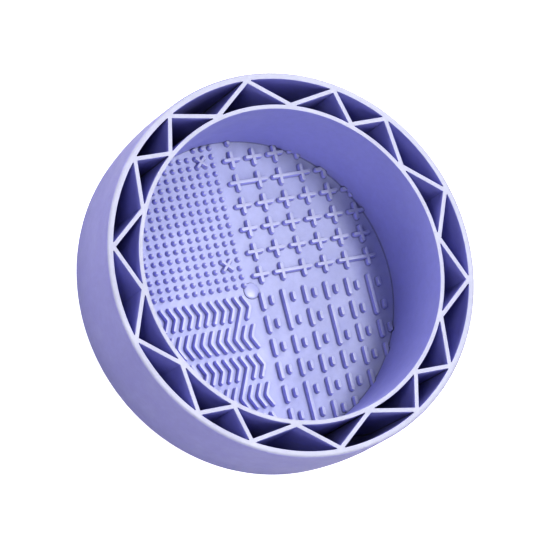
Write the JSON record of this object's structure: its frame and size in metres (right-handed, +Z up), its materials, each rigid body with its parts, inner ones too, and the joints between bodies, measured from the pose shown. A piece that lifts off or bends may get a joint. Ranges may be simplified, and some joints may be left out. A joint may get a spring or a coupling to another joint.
{
  "type": "make-up brush cleaning bowl",
  "caption": "Round soft silicone bowl with a textured scrubbing floor and a ring of triangular pockets between two walls for drying brushes.",
  "frame": {"origin": "on the resting plane, at the centre of the round base", "axes": "+Z up out of the bowl; +X and +Y lie along the lines that part the four textured quarters, with the chevrons between +X and +Y and the dots between +X and -Y"},
  "size_m": [0.1294, 0.1294, 0.04],
  "materials": {
    "base_silicone": "soft matte lavender silicone",
    "outer_wall_silicone": "soft matte lavender silicone",
    "inner_wall_silicone": "soft matte lavender silicone",
    "divider_silicone": "soft matte lavender silicone",
    "floor_silicone": "soft satin lavender silicone"
  },
  "bodies": {
    "root": {"base_disc": "base_silicone", "outer_wall": "outer_wall_silicone", "inner_wall": "inner_wall_silicone", "centre_boss": "floor_silicone", "dot_pad": "floor_silicone", "cross_pad": "floor_silicone", "chevron_pad": "floor_silicone", "bar_pad": "floor_silicone", "divider_01": "divider_silicone", "divider_02": "divider_silicone", "divider_03": "divider_silicone", "divider_04": "divider_silicone", "divider_05": "divider_silicone", "divider_06": "divider_silicone", "divider_07": "divider_silicone", "divider_08": "divider_silicone", "divider_09": "divider_silicone", "divider_10": "divider_silicone", "divider_11": "divider_silicone", "divider_12": "divider_silicone", "divider_13": "divider_silicone", "divider_14": "divider_silicone", "divider_15": "divider_silicone", "divider_16": "divider_silicone", "divider_17": "divider_silicone", "divider_18": "divider_silicone", "divider_19": "divider_silicone", "divider_20": "divider_silicone", "divider_21": "divider_silicone", "divider_22": "divider_silicone", "divider_23": "divider_silicone", "divider_24": "divider_silicone", "divider_25": "divider_silicone", "divider_26": "divider_silicone", "divider_27": "divider_silicone", "divider_28": "divider_silicone"}
  },
  "joints": []
}
